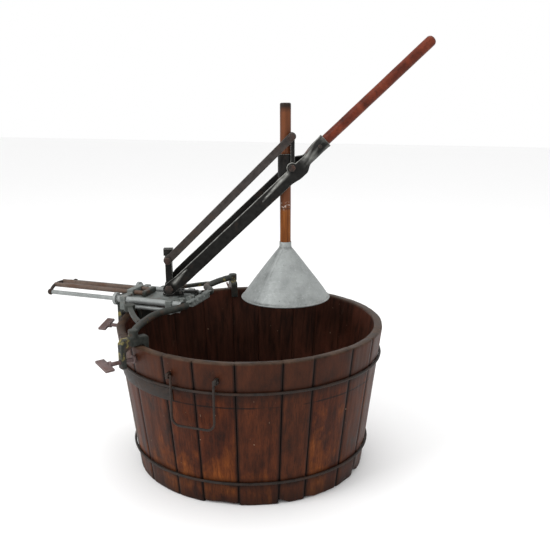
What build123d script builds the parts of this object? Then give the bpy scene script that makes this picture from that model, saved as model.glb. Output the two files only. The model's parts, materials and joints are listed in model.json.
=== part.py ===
from build123d import *
from math import cos, sin, tan, radians, pi
import os

# Lever plunger tub: a coopered wooden tub with a clamp-on lever bracket and a sheet-metal bell.
# Millimetres, +Z up. Origin: centre of the tub at the level of its resting edge.
# -X is the bracket side, the two bail handles are on -Y and +Y.

# ---- tub ----
TUB_HEIGHT = 333.0
TUB_TOP_RADIUS = 305.0
TUB_BASE_RADIUS = 265.0
STAVE_THICKNESS = 20.0
STAVE_COUNT = 22
STAVE_GAP_DEG = 0.03
STAVE_UNEVENNESS = 0.22
CROZE_DEPTH = 6.0
BOTTOM_Z = 26.0
BOTTOM_THICKNESS = 18.0
BOTTOM_BOARDS = 3
BOARD_GAP = 0.3
HOOP_WIRE_RADIUS = 3.0
UPPER_HOOP_Z = 267.0
LOWER_HOOP_Z = 56.0
STRAP_Z = 248.0
STRAP_WIDTH = 28.0
STRAP_THICKNESS = 1.6
STRAP_HALF_ANGLE = 80.0
FIT = 0.3

# ---- bail handles ----
BAIL_Z = 295.0
BAIL_Y = 305.0
BAIL_HALF_WIDTH = 53.0
BAIL_DROP = 106.0
BAIL_WIRE_RADIUS = 2.5
EYE_THICKNESS = 5.0

# ---- clamps ----
CLAMP_ANGLE = 120.5
SIDE_SCREW_Z = TUB_HEIGHT - 29.0
SIDE_PAD_RADIUS = 303.3
SIDE_SCREW_END = 359.0
SIDE_HOOK_WIDTH = 16.0
SIDE_LEG_BOTTOM = TUB_HEIGHT - 44.0
CENTRE_SCREW_Z = TUB_HEIGHT - 53.0
CENTRE_PAD_RADIUS = 300.2
CENTRE_SCREW_END = 374.0
CENTRE_HOOK_WIDTH = 50.0
CENTRE_LEG_BOTTOM = TUB_HEIGHT - 92.0
LEG_INNER = 326.0
LEG_THICKNESS = 12.0
JAW_RADIUS = 283.0
JAW_THICKNESS = 12.0
HOOK_TOP = 20.0
SCREW_RADIUS = 4.5
PAD_RADIUS = 9.0
PAD_THICKNESS = 6.0
WING_LENGTH = 48.0
WING_DEPTH = 20.0
WING_THICKNESS = 5.0

# ---- turret and lever ----
KINGPIN_X = -204.0
KINGPIN_RADIUS = 7.95
KINGPIN_LENGTH = 38.0
SWIVEL = 22.5
BED_BOTTOM = TUB_HEIGHT + 20.3
BED_TOP = TUB_HEIGHT + 36.0
BED_X = -247.0
BED_LENGTH = 166.0
BED_WIDTH = 66.0
OUTER_BEAM_X = -298.0
INNER_BEAM_X = -176.0
BEAM_WIDTH = 16.0
HUB_TOP = TUB_HEIGHT + 40.0
PIVOT_Z = TUB_HEIGHT + 59.0
POST_SPACING = 70.0
LINK_LENGTH = 401.7
LINK_ANGLE = 44.0
LEVER_ANGLE = 42.7
CHANNEL_INNER = 19.0
CHANNEL_WALL = 3.5
CHANNEL_FLOOR = -17.0
NEAR_WALL_TOP = 11.0
FAR_WALL_TOP = 20.0
PIVOT_BOLT_RADIUS = 6.0
LINK_BOLT_RADIUS = 5.0
RUNNING = 0.05
SOCKET_START = 432.0
SOCKET_END = 498.0
SOCKET_RADIUS = 16.0
HANDLE_RADIUS = 12.2
HANDLE_END = 812.0
LINK_WIDTH = 18.0
LINK_THICKNESS = 5.0
LINK_FACE = 24.0

# ---- quadrant ----
QUADRANT_INNER = 50.0
QUADRANT_OUTER = 62.0
QUADRANT_HALF_ANGLE = 38.0
QUADRANT_Z = TUB_HEIGHT + 33.0
QUADRANT_TOP = TUB_HEIGHT + 44.0
NOTCH_STEP = 12.0
NOTCH_COUNT = 7
PAWL_PIN = 26.0
PAWL_NOSE = QUADRANT_OUTER + 3.5

# ---- ribbed crossbar that joins the two arms ----
CROSSBAR_X = -127.0
CROSSBAR_WIDTH = 13.0
CROSSBAR_Z = TUB_HEIGHT + 29.0
CROSSBAR_TOP = TUB_HEIGHT + 45.0
CROSSBAR_HALF = 57.7
RIB_PITCH = 12.0
RIB_GAPS = 9
ARM_RADIUS = 8.0

# ---- plunger ----
STICK_RADIUS = 12.5
STICK_OFFSET = 13.5
STICK_TOP = 813.0
SLEEVE_RADIUS = 17.5
BELL_RADIUS = 103.0
BELL_Z = TUB_HEIGHT + 34.0
BELL_HEIGHT = 118.0
BELL_SHEET = 1.2
BELL_COLLAR = 14.0
BELL_BEAD = 2.6

# ---- return spring pack ----
PACK_Z = TUB_HEIGHT + 34.0
GUIDE_Y = 54.0
GUIDE_ROD_RADIUS = 5.2
TUBE_RADIUS = 7.6
TUBE_BORE = 6.9
SPRING_INNER_RADIUS = 5.5
SPRING_OUTER_RADIUS = 6.6
END_DISC_RADIUS = 15.0
END_DISC_THICKNESS = 7.0
STAY_TUBE_RADIUS = 5.0
STAY_TUBE_BORE = 3.6
STAY_TUBE_Y = 52.0
STAY_TUBE_Z = TUB_HEIGHT + 18.0
TUBE_OUTER_X = -316.0
TUBE_INNER_X = -146.0
PUSH_ROD_Y = 18.0
PUSH_ROD_Z = TUB_HEIGHT + 43.0
PUSH_ROD_RADIUS = 5.4
YOKE_END_X = -508.0
YOKE_BOW = 14.0
YOKE_RADIUS = 4.0
YOKE_BALL_RADIUS = 7.5
CROSSHEAD_X = -261.0

os.makedirs("parts", exist_ok=True)


def outer_radius(z):
    """Radius of the tub's outside at height z."""
    return TUB_BASE_RADIUS + (TUB_TOP_RADIUS - TUB_BASE_RADIUS) * z / TUB_HEIGHT


def inner_radius(z):
    """Radius of the tub's inside at height z."""
    return outer_radius(z) - STAVE_THICKNESS


def radial_plane(angle, radius, z):
    """Plane whose normal points away from the tub's axis; its Y axis is up."""
    a = radians(angle)
    return Plane(
        origin=(radius * cos(a), radius * sin(a), z),
        x_dir=(-sin(a), cos(a), 0),
        z_dir=(cos(a), sin(a), 0),
    )


def upright_plane(angle):
    """Plane through the tub's axis: X is the radius at that angle, Y is up."""
    a = radians(angle)
    return Plane(origin=(0, 0, 0), x_dir=(cos(a), sin(a), 0), z_dir=(sin(a), -cos(a), 0))


def save(part, name):
    """Label one finished piece and write it as a STEP file."""
    part.label = name
    export_step(part, f"parts/{name}.step")


# ======================= tub =======================
# The staves are uneven in width, so each takes its own share of the circle.
stave_shares = [1.0 + STAVE_UNEVENNESS * sin(2.4 * k + 0.7) for k in range(STAVE_COUNT)]
stave_scale = 360.0 / sum(stave_shares)
stave_start = -172.0
for k in range(STAVE_COUNT):
    stave_width = stave_shares[k] * stave_scale
    with BuildPart() as stave:
        with BuildSketch(upright_plane(stave_start)):
            with BuildLine():
                Polyline(
                    (outer_radius(2), 2),
                    (outer_radius(TUB_HEIGHT - 2), TUB_HEIGHT - 2),
                    (outer_radius(TUB_HEIGHT) - 2, TUB_HEIGHT),
                    (inner_radius(TUB_HEIGHT) + 3, TUB_HEIGHT),
                    (inner_radius(TUB_HEIGHT - 3), TUB_HEIGHT - 3),
                    (inner_radius(BOTTOM_Z + BOTTOM_THICKNESS), BOTTOM_Z + BOTTOM_THICKNESS),
                    (inner_radius(BOTTOM_Z) + CROZE_DEPTH, BOTTOM_Z + BOTTOM_THICKNESS),
                    (inner_radius(BOTTOM_Z) + CROZE_DEPTH, BOTTOM_Z),
                    (inner_radius(BOTTOM_Z), BOTTOM_Z),
                    (inner_radius(0) + 8, 0),
                    (outer_radius(0) - 2, 0),
                    close=True,
                )
            make_face()
        revolve(axis=Axis.Z, revolution_arc=stave_width - STAVE_GAP_DEG)
    save(stave.part, f"stave_{k + 1:02d}")
    stave_start += stave_width

# The floor of the tub: edge-to-edge boards held in the croze groove.
floor_radius = inner_radius(BOTTOM_Z) + CROZE_DEPTH - FIT
board_width = 2 * floor_radius / BOTTOM_BOARDS
for k in range(BOTTOM_BOARDS):
    with BuildPart() as board:
        with BuildSketch(Plane.XY.offset(BOTTOM_Z + BOARD_GAP / 2)):
            Circle(floor_radius)
            with Locations(((k - (BOTTOM_BOARDS - 1) / 2) * board_width, 0)):
                Rectangle(board_width - BOARD_GAP, 2 * floor_radius, mode=Mode.INTERSECT)
        extrude(amount=BOTTOM_THICKNESS - BOARD_GAP)
    save(board.part, f"bottom_board_{k + 1}")

for hoop_name, hoop_z in (("hoop_upper", UPPER_HOOP_Z), ("hoop_lower", LOWER_HOOP_Z)):
    with BuildPart() as hoop:
        with BuildSketch(Plane.XZ):
            with Locations((outer_radius(hoop_z) + HOOP_WIRE_RADIUS + 0.12, hoop_z)):
                Circle(HOOP_WIRE_RADIUS)
        revolve(axis=Axis.Z)
    save(hoop.part, hoop_name)

# Flat iron strap, left on the bracket side only.
with BuildPart() as strap:
    strap_low = STRAP_Z - STRAP_WIDTH / 2
    strap_high = STRAP_Z + STRAP_WIDTH / 2
    with BuildSketch(upright_plane(180 - STRAP_HALF_ANGLE)):
        with BuildLine():
            Polyline(
                (outer_radius(strap_low) + 0.1, strap_low),
                (outer_radius(strap_high) + 0.1, strap_high),
                (outer_radius(strap_high) + 0.1 + STRAP_THICKNESS, strap_high),
                (outer_radius(strap_low) + 0.1 + STRAP_THICKNESS, strap_low),
                close=True,
            )
        make_face()
    revolve(axis=Axis.Z, revolution_arc=2 * STRAP_HALF_ANGLE)
save(strap.part, "hoop_strap")

# ======================= bail handles =======================
wall_cone = Cone(
    TUB_BASE_RADIUS + 0.1, TUB_TOP_RADIUS + 0.1, TUB_HEIGHT, align=(Align.CENTER, Align.CENTER, Align.MIN)
)
with BuildPart() as bail_eyes:
    with BuildSketch(Plane.YZ):
        for side_sign in (-1, 1):
            with Locations((side_sign * (BAIL_Y - 6), BAIL_Z)):
                Rectangle(12, 13)
            with Locations((side_sign * BAIL_Y, BAIL_Z)):
                Circle(6.5)
                Circle(BAIL_WIRE_RADIUS + RUNNING, mode=Mode.SUBTRACT)
    extrude(amount=BAIL_HALF_WIDTH + EYE_THICKNESS / 2, both=True)
    with Locations((0, 0, BAIL_Z)):
        Box(2 * BAIL_HALF_WIDTH - EYE_THICKNESS, 2 * BAIL_Y + 40, 40, mode=Mode.SUBTRACT)
    add(wall_cone, mode=Mode.SUBTRACT)
save(bail_eyes.part, "bail_eyes")

for bail_name, y_sign in (("bail_front", -1), ("bail_rear", 1)):
    leg_x = BAIL_HALF_WIDTH - EYE_THICKNESS / 2 - FIT - BAIL_WIRE_RADIUS
    stub_x = BAIL_HALF_WIDTH + EYE_THICKNESS / 2 + 3
    bail_y = y_sign * BAIL_Y
    with BuildPart() as bail:
        with BuildLine() as bail_line:
            FilletPolyline(
                (-leg_x, bail_y, BAIL_Z),
                (-leg_x, bail_y, BAIL_Z - BAIL_DROP),
                (leg_x, bail_y, BAIL_Z - BAIL_DROP),
                (leg_x, bail_y, BAIL_Z),
                radius=18,
            )
        with BuildSketch(Plane(origin=(-leg_x, bail_y, BAIL_Z), z_dir=(0, 0, -1))):
            Circle(BAIL_WIRE_RADIUS)
        sweep(path=bail_line.line)
        for x_sign in (-1, 1):
            stub_plane = Plane(
                origin=(x_sign * leg_x, bail_y, BAIL_Z), x_dir=(0, 1, 0), z_dir=(x_sign, 0, 0)
            )
            with BuildSketch(stub_plane):
                Circle(BAIL_WIRE_RADIUS)
            extrude(amount=stub_x - leg_x)
            with Locations((x_sign * leg_x, bail_y, BAIL_Z)):
                Sphere(BAIL_WIRE_RADIUS)
    save(bail.part, bail_name)

# ======================= bracket: clamps =======================
# Name, angle about Z, screw height, the wall's radius at the pad, screw end, wing angle.
CLAMPS = (
    ("near", -CLAMP_ANGLE, SIDE_SCREW_Z, SIDE_PAD_RADIUS, SIDE_SCREW_END, -11.0),
    ("far", CLAMP_ANGLE, SIDE_SCREW_Z, SIDE_PAD_RADIUS, SIDE_SCREW_END, 70.0),
    ("centre", 180.0, CENTRE_SCREW_Z, CENTRE_PAD_RADIUS, CENTRE_SCREW_END, -16.0),
)
LEG_OUTER = LEG_INNER + LEG_THICKNESS


def rim_hook(angle, screw_z, leg_bottom, width):
    """An inverted U over the tub's rim, with the screw's hole in its outer leg."""
    with BuildPart() as hook:
        with BuildSketch(upright_plane(angle)):
            with BuildLine():
                Polyline(
                    (JAW_RADIUS - JAW_THICKNESS, TUB_HEIGHT - 20),
                    (JAW_RADIUS - 3, TUB_HEIGHT - 20),
                    (JAW_RADIUS, TUB_HEIGHT - 1),
                    (JAW_RADIUS, TUB_HEIGHT + 0.3),
                    (TUB_TOP_RADIUS + 4, TUB_HEIGHT + 0.3),
                    (LEG_INNER, TUB_HEIGHT - 8),
                    (LEG_INNER, leg_bottom),
                    (LEG_OUTER, leg_bottom),
                    (LEG_OUTER, TUB_HEIGHT + 10),
                    (LEG_OUTER - 8, TUB_HEIGHT + HOOK_TOP),
                    (JAW_RADIUS - JAW_THICKNESS + 4, TUB_HEIGHT + HOOK_TOP),
                    (JAW_RADIUS - JAW_THICKNESS, TUB_HEIGHT + HOOK_TOP - 5),
                    close=True,
                )
            make_face()
        extrude(amount=width / 2, both=True)
        with BuildSketch(radial_plane(angle, LEG_INNER - 5, screw_z)):
            Circle(SCREW_RADIUS + RUNNING)
        extrude(amount=LEG_THICKNESS + 15, mode=Mode.SUBTRACT)
    return hook.part


for clamp_name, angle, screw_z, wall_r, screw_end, wing_angle in CLAMPS:
    # A round pad on the tip of each screw, which bears on the tub's wall.
    with BuildPart() as pad:
        with BuildSketch(radial_plane(angle, wall_r, screw_z)):
            Circle(PAD_RADIUS)
        extrude(amount=PAD_THICKNESS)
        with BuildSketch(radial_plane(angle, wall_r + PAD_THICKNESS / 2, screw_z)):
            Circle(SCREW_RADIUS + RUNNING)
        extrude(amount=PAD_THICKNESS, mode=Mode.SUBTRACT)
        chamfer(pad.edges().filter_by(GeomType.CIRCLE).group_by(SortBy.RADIUS)[-1], 0.8)
    save(pad.part, f"clamp_pad_{clamp_name}")

    tip_radius = wall_r + PAD_THICKNESS / 2 + 0.1
    with BuildPart() as screw:
        with BuildSketch(radial_plane(angle, tip_radius, screw_z)):
            Circle(SCREW_RADIUS)
        extrude(amount=screw_end - tip_radius)
        with BuildSketch(radial_plane(angle, screw_end, screw_z)):
            Circle(7.5)
        extrude(amount=6)
        with BuildSketch(radial_plane(angle, screw_end + 4, screw_z)):
            with Locations(Rotation(0, 0, wing_angle)):
                Rectangle(WING_LENGTH, WING_THICKNESS)
        extrude(amount=WING_DEPTH)
        fillet(screw.edges().filter_by(GeomType.LINE).group_by(SortBy.LENGTH)[0], 1.2)
    save(screw.part, f"thumb_screw_{clamp_name}")

# ======================= bracket: castings =======================
BOSS_RADIUS = TUB_TOP_RADIUS - 1
BOSS_X = BOSS_RADIUS * cos(radians(CLAMP_ANGLE))
BOSS_Y = BOSS_RADIUS * sin(radians(CLAMP_ANGLE))
ARM_END_Y = CROSSBAR_HALF + FIT + ARM_RADIUS


def arm_bar(y_sign):
    """The round bar from a side clamp's boss up to the end of the crossbar."""
    with BuildPart() as bar:
        with BuildLine() as arm_line:
            Spline(
                (BOSS_X, y_sign * BOSS_Y, TUB_HEIGHT + 27),
                (-168, y_sign * 215, TUB_HEIGHT + 28),
                (-173, y_sign * 172, TUB_HEIGHT + 29),
                (-167, y_sign * 124, TUB_HEIGHT + 32),
                (-147, y_sign * 98, TUB_HEIGHT + 35),
                (CROSSBAR_X - 2, y_sign * ARM_END_Y, TUB_HEIGHT + 37),
            )
        with BuildSketch(Plane(origin=arm_line.line @ 0, z_dir=arm_line.line % 0)):
            Circle(ARM_RADIUS)
        sweep(path=arm_line.line)
        with Locations((CROSSBAR_X - 2, y_sign * ARM_END_Y, TUB_HEIGHT + 37)):
            Sphere(ARM_RADIUS)
    return bar.part


for arm_name, y_sign in (("arm_near", -1), ("arm_far", 1)):
    arm_hook = rim_hook(y_sign * CLAMP_ANGLE, SIDE_SCREW_Z, SIDE_LEG_BOTTOM, SIDE_HOOK_WIDTH)
    bar_part = arm_bar(y_sign)
    with BuildPart() as arm:
        add(arm_hook)
        add(bar_part)
        with Locations((BOSS_X, y_sign * BOSS_Y, TUB_HEIGHT + HOOK_TOP - 1)):
            Cylinder(10.5, 17, align=(Align.CENTER, Align.CENTER, Align.MIN))
    save(arm.part, arm_name)

# A stay runs from beside the middle hook, by a round boss, to each arm.
with BuildPart() as rim_stays:
    with BuildSketch(Plane.XY.offset(TUB_HEIGHT + HOOK_TOP + 1)):
        for y_sign in (-1, 1):
            with BuildLine():
                Spline(
                    (-283, y_sign * 68),
                    (-262, y_sign * 92),
                    (-225, y_sign * 140),
                    (-184, y_sign * 184),
                )
            trace(line_width=11)
    extrude(amount=10)
    for y_sign in (-1, 1):
        with Locations((-264, y_sign * 89, TUB_HEIGHT + HOOK_TOP - 2)):
            Cylinder(13, 16, align=(Align.CENTER, Align.CENTER, Align.MIN))
        add(arm_bar(y_sign), mode=Mode.SUBTRACT)
save(rim_stays.part, "rim_stays")

middle_hook = rim_hook(180.0, CENTRE_SCREW_Z, CENTRE_LEG_BOTTOM, CENTRE_HOOK_WIDTH)
with BuildPart() as centre_hook:
    add(middle_hook)
    with Locations((-LEG_OUTER + 1, 0, TUB_HEIGHT - 6)):
        Box(8, 30, 34)
save(centre_hook.part, "centre_hook")

with BuildPart() as bed:
    with BuildSketch(Plane.XY.offset(BED_BOTTOM)):
        with Locations((BED_X, 0)):
            RectangleRounded(BED_LENGTH, BED_WIDTH, 10)
    extrude(amount=BED_TOP - BED_BOTTOM)
    # Two crossbeams carry the spring tubes.
    for beam_x in (OUTER_BEAM_X, INNER_BEAM_X):
        with Locations((beam_x, 0, TUB_HEIGHT + 27)):
            Box(BEAM_WIDTH, 2 * GUIDE_Y + 20, 32)
    with Locations((OUTER_BEAM_X, 0, PUSH_ROD_Z)):
        Box(BEAM_WIDTH, 2 * PUSH_ROD_Y + 20, BEAM_WIDTH)
    # The outer beam clears the middle hook; the inner beam is low under the turret's arm.
    with Locations((OUTER_BEAM_X, 0, BED_BOTTOM)):
        Box(20, 52, 24, align=(Align.CENTER, Align.CENTER, Align.MAX), mode=Mode.SUBTRACT)
    with Locations((INNER_BEAM_X, 0, BED_TOP)):
        Box(20, 88, 20, align=(Align.CENTER, Align.CENTER, Align.MIN), mode=Mode.SUBTRACT)
    with Locations((KINGPIN_X, 0, BED_BOTTOM)):
        Cylinder(24, HUB_TOP - BED_BOTTOM, align=(Align.CENTER, Align.CENTER, Align.MIN))
    # The quadrant's two spokes and its notched rim.
    with BuildSketch(Plane.XY.offset(QUADRANT_Z)):
        with Locations((KINGPIN_X, 0)):
            for spoke_angle in (-30, 30):
                with Locations(Rotation(0, 0, spoke_angle)):
                    with Locations((QUADRANT_INNER / 2 + 5, 0)):
                        Rectangle(QUADRANT_INNER - 4, 12)
    extrude(amount=5)
    with BuildSketch(Plane.XY.offset(QUADRANT_Z)):
        with BuildLine():
            CenterArc(
                (KINGPIN_X, 0),
                (QUADRANT_INNER + QUADRANT_OUTER) / 2,
                -QUADRANT_HALF_ANGLE,
                2 * QUADRANT_HALF_ANGLE,
            )
        trace(line_width=QUADRANT_OUTER - QUADRANT_INNER)
    extrude(amount=QUADRANT_TOP - QUADRANT_Z)
    for k in range(NOTCH_COUNT):
        notch_angle = (k - (NOTCH_COUNT - 1) / 2) * NOTCH_STEP
        notch_plane = Plane(
            origin=(KINGPIN_X, 0, QUADRANT_TOP),
            x_dir=(cos(radians(notch_angle)), sin(radians(notch_angle)), 0),
            z_dir=(0, 0, 1),
        )
        with BuildSketch(notch_plane):
            with Locations((QUADRANT_OUTER, 0)):
                Rectangle(14, 5)
        extrude(amount=-6, mode=Mode.SUBTRACT)
    # The ribbed crossbar between the arms, on a short tongue of the bed.
    with Locations((CROSSBAR_X, 0, CROSSBAR_Z)):
        Box(
            CROSSBAR_WIDTH,
            2 * CROSSBAR_HALF,
            CROSSBAR_TOP - CROSSBAR_Z,
            align=(Align.CENTER, Align.CENTER, Align.MIN),
        )
    for k in range(RIB_GAPS):
        rib_y = (k - (RIB_GAPS - 1) / 2) * RIB_PITCH
        with Locations((CROSSBAR_X + CROSSBAR_WIDTH / 2, rib_y, CROSSBAR_TOP)):
            Box(5, 5, 24, mode=Mode.SUBTRACT)
    with Locations(((CROSSBAR_X - 170) / 2, 0, TUB_HEIGHT + 24)):
        Box(CROSSBAR_X + 170, 52, 9, align=(Align.CENTER, Align.CENTER, Align.MIN))
    with Locations((KINGPIN_X, 0, HUB_TOP)):
        Hole(KINGPIN_RADIUS + RUNNING)
    for y_sign in (-1, 1):
        with BuildSketch(Plane.YZ.offset(-320)):
            with Locations((y_sign * GUIDE_Y, PACK_Z)):
                Circle(TUBE_RADIUS + RUNNING)
            with Locations((y_sign * STAY_TUBE_Y, STAY_TUBE_Z)):
                Circle(STAY_TUBE_RADIUS + RUNNING)
            with Locations((y_sign * PUSH_ROD_Y, PUSH_ROD_Z)):
                Circle(PUSH_ROD_RADIUS + RUNNING)
        extrude(amount=200, mode=Mode.SUBTRACT)
save(bed.part, "bracket_bed")

with BuildPart() as stay_tubes:
    for y_sign in (-1, 1):
        with BuildSketch(Plane.YZ.offset(-309)):
            with Locations((y_sign * STAY_TUBE_Y, STAY_TUBE_Z)):
                Circle(STAY_TUBE_RADIUS)
                Circle(STAY_TUBE_BORE, mode=Mode.SUBTRACT)
        extrude(amount=156)
save(stay_tubes.part, "stay_tubes")

# ======================= return spring pack =======================
with BuildPart() as spring_tubes:
    for y_sign in (-1, 1):
        with BuildSketch(Plane.YZ.offset(TUBE_OUTER_X)):
            with Locations((y_sign * GUIDE_Y, PACK_Z)):
                Circle(TUBE_RADIUS)
                Circle(TUBE_BORE, mode=Mode.SUBTRACT)
        extrude(amount=TUBE_INNER_X - TUBE_OUTER_X)
        with BuildSketch(Plane.YZ.offset(TUBE_OUTER_X)):
            with Locations((y_sign * GUIDE_Y, PACK_Z)):
                Circle(END_DISC_RADIUS)
                Circle(GUIDE_ROD_RADIUS + RUNNING, mode=Mode.SUBTRACT)
        extrude(amount=-END_DISC_THICKNESS)
save(spring_tubes.part, "spring_tubes")

PISTON_X = -214.0
with BuildPart() as guide_rods:
    for y_sign in (-1, 1):
        with BuildSketch(Plane.YZ.offset(YOKE_END_X)):
            with Locations((y_sign * GUIDE_Y, PACK_Z)):
                Circle(GUIDE_ROD_RADIUS)
        extrude(amount=PISTON_X + 6 - YOKE_END_X)
        with BuildSketch(Plane.YZ.offset(PISTON_X)):
            with Locations((y_sign * GUIDE_Y, PACK_Z)):
                Circle(TUBE_BORE - 0.08)
        extrude(amount=6)
save(guide_rods.part, "guide_rods")

with BuildPart() as return_springs:
    for y_sign in (-1, 1):
        with BuildSketch(Plane.YZ.offset(TUBE_OUTER_X + FIT)):
            with Locations((y_sign * GUIDE_Y, PACK_Z)):
                Circle(SPRING_OUTER_RADIUS)
                Circle(SPRING_INNER_RADIUS, mode=Mode.SUBTRACT)
        extrude(amount=PISTON_X - TUBE_OUTER_X - 2 * FIT)
save(return_springs.part, "return_springs")

with BuildPart() as yoke:
    with BuildLine() as yoke_line:
        Spline(
            (YOKE_END_X, -GUIDE_Y, PACK_Z),
            (YOKE_END_X - 0.6 * YOKE_BOW, -0.6 * GUIDE_Y, PACK_Z + 6),
            (YOKE_END_X - YOKE_BOW, 0, PUSH_ROD_Z),
            (YOKE_END_X - 0.6 * YOKE_BOW, 0.6 * GUIDE_Y, PACK_Z + 6),
            (YOKE_END_X, GUIDE_Y, PACK_Z),
        )
    with BuildSketch(Plane(origin=yoke_line.line @ 0, z_dir=yoke_line.line % 0)):
        Circle(YOKE_RADIUS)
    sweep(path=yoke_line.line)
    for y_sign in (-1, 1):
        with Locations((YOKE_END_X, y_sign * GUIDE_Y, PACK_Z)):
            Sphere(YOKE_BALL_RADIUS)
save(yoke.part, "spring_yoke")

with BuildPart() as push_rods:
    for y_sign in (-1, 1):
        with BuildSketch(Plane.YZ.offset(YOKE_END_X - YOKE_BOW + 2)):
            with Locations((y_sign * PUSH_ROD_Y, PUSH_ROD_Z)):
                Circle(PUSH_ROD_RADIUS)
        extrude(amount=CROSSHEAD_X - YOKE_END_X + YOKE_BOW - 2)
save(push_rods.part, "push_rods")

with BuildPart() as crosshead:
    with Locations((CROSSHEAD_X, 0, PUSH_ROD_Z)):
        Box(10, 2 * PUSH_ROD_Y + 18, 13)
    fillet(crosshead.edges().filter_by(Axis.X), 4)
save(crosshead.part, "crosshead")

# ======================= turret =======================
swing = radians(SWIVEL)
side = Plane(
    origin=(KINGPIN_X, 0, PIVOT_Z), x_dir=(cos(swing), sin(swing), 0), z_dir=(sin(swing), -cos(swing), 0)
)
turret_floor = HUB_TOP + FIT - PIVOT_Z
with BuildPart() as post:
    with Locations((KINGPIN_X, 0, HUB_TOP + FIT)):
        Cylinder(17, 6, align=(Align.CENTER, Align.CENTER, Align.MIN))
    with BuildSketch(side):
        with Locations((0, 40)):
            Rectangle(16, 106)
        with Locations((0, 86)):
            Rectangle(22, 16)
    extrude(amount=9, both=True)
    with BuildSketch(side):
        Circle(11)
    extrude(amount=CHANNEL_INNER - FIT, both=True)
    with BuildSketch(side):
        with Locations((0, POST_SPACING)):
            Circle(10)
    extrude(amount=LINK_FACE - FIT)
    # The arm that carries the pawl, slotted for it.
    with BuildSketch(side):
        with Locations((20, (turret_floor - 7) / 2)):
            Rectangle(28, -7 - turret_floor)
    extrude(amount=12, both=True)
    with BuildSketch(side):
        with Locations((28, (turret_floor - 7) / 2)):
            Rectangle(20, 30)
    extrude(amount=6 + FIT, both=True, mode=Mode.SUBTRACT)
    with Locations((KINGPIN_X, 0, HUB_TOP + FIT + 1)):
        Cylinder(KINGPIN_RADIUS, KINGPIN_LENGTH, align=(Align.CENTER, Align.CENTER, Align.MAX))
    with BuildSketch(side):
        Circle(PIVOT_BOLT_RADIUS)
        with Locations((0, POST_SPACING)):
            Circle(LINK_BOLT_RADIUS)
    extrude(amount=60, both=True, mode=Mode.SUBTRACT)
    with BuildSketch(side):
        with Locations((26, -11)):
            Circle(2.5)
    extrude(amount=20, both=True, mode=Mode.SUBTRACT)
save(post.part, "swivel_post")

channel_outer = CHANNEL_INNER + CHANNEL_WALL
with BuildPart() as post_bolts:
    # The lever's pivot bolt, with a head and a nut.
    with BuildSketch(side):
        Circle(PIVOT_BOLT_RADIUS)
    extrude(amount=channel_outer + 4, both=True)
    for z_sign in (-1, 1):
        with BuildSketch(side.offset(z_sign * (channel_outer + FIT))):
            RegularPolygon(10.5, 6)
        extrude(amount=z_sign * 6)
    # The link's pivot bolt.
    with BuildSketch(side.offset(-13)):
        with Locations((0, POST_SPACING)):
            Circle(LINK_BOLT_RADIUS)
    extrude(amount=13 + LINK_FACE + LINK_THICKNESS + 2)
    with BuildSketch(side.offset(LINK_FACE + LINK_THICKNESS + FIT)):
        with Locations((0, POST_SPACING)):
            RegularPolygon(9, 6)
    extrude(amount=5)
    # The pawl's pin.
    with BuildSketch(side):
        with Locations((26, -11)):
            Circle(2.5)
    extrude(amount=14, both=True)
    # The nut under the kingpin.
    with BuildSketch(Plane.XY.offset(BED_BOTTOM - FIT)):
        with Locations((KINGPIN_X, 0)):
            RegularPolygon(13, 6)
            Circle(KINGPIN_RADIUS, mode=Mode.SUBTRACT)
    extrude(amount=-9)
save(post_bolts.part, "post_bolts")

with BuildPart() as pawl:
    with BuildSketch(side):
        with Locations((PAWL_PIN, -11)):
            Circle(3.5)
        with Locations(((PAWL_PIN + PAWL_NOSE) / 2, -11.5)):
            Rectangle(PAWL_NOSE - PAWL_PIN, 6)
        with Locations((PAWL_NOSE, -16)):
            Rectangle(5, 15)
        with Locations((PAWL_PIN, -11)):
            Circle(2.5 + RUNNING, mode=Mode.SUBTRACT)
    extrude(amount=6, both=True)
save(pawl.part, "index_pawl")

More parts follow.
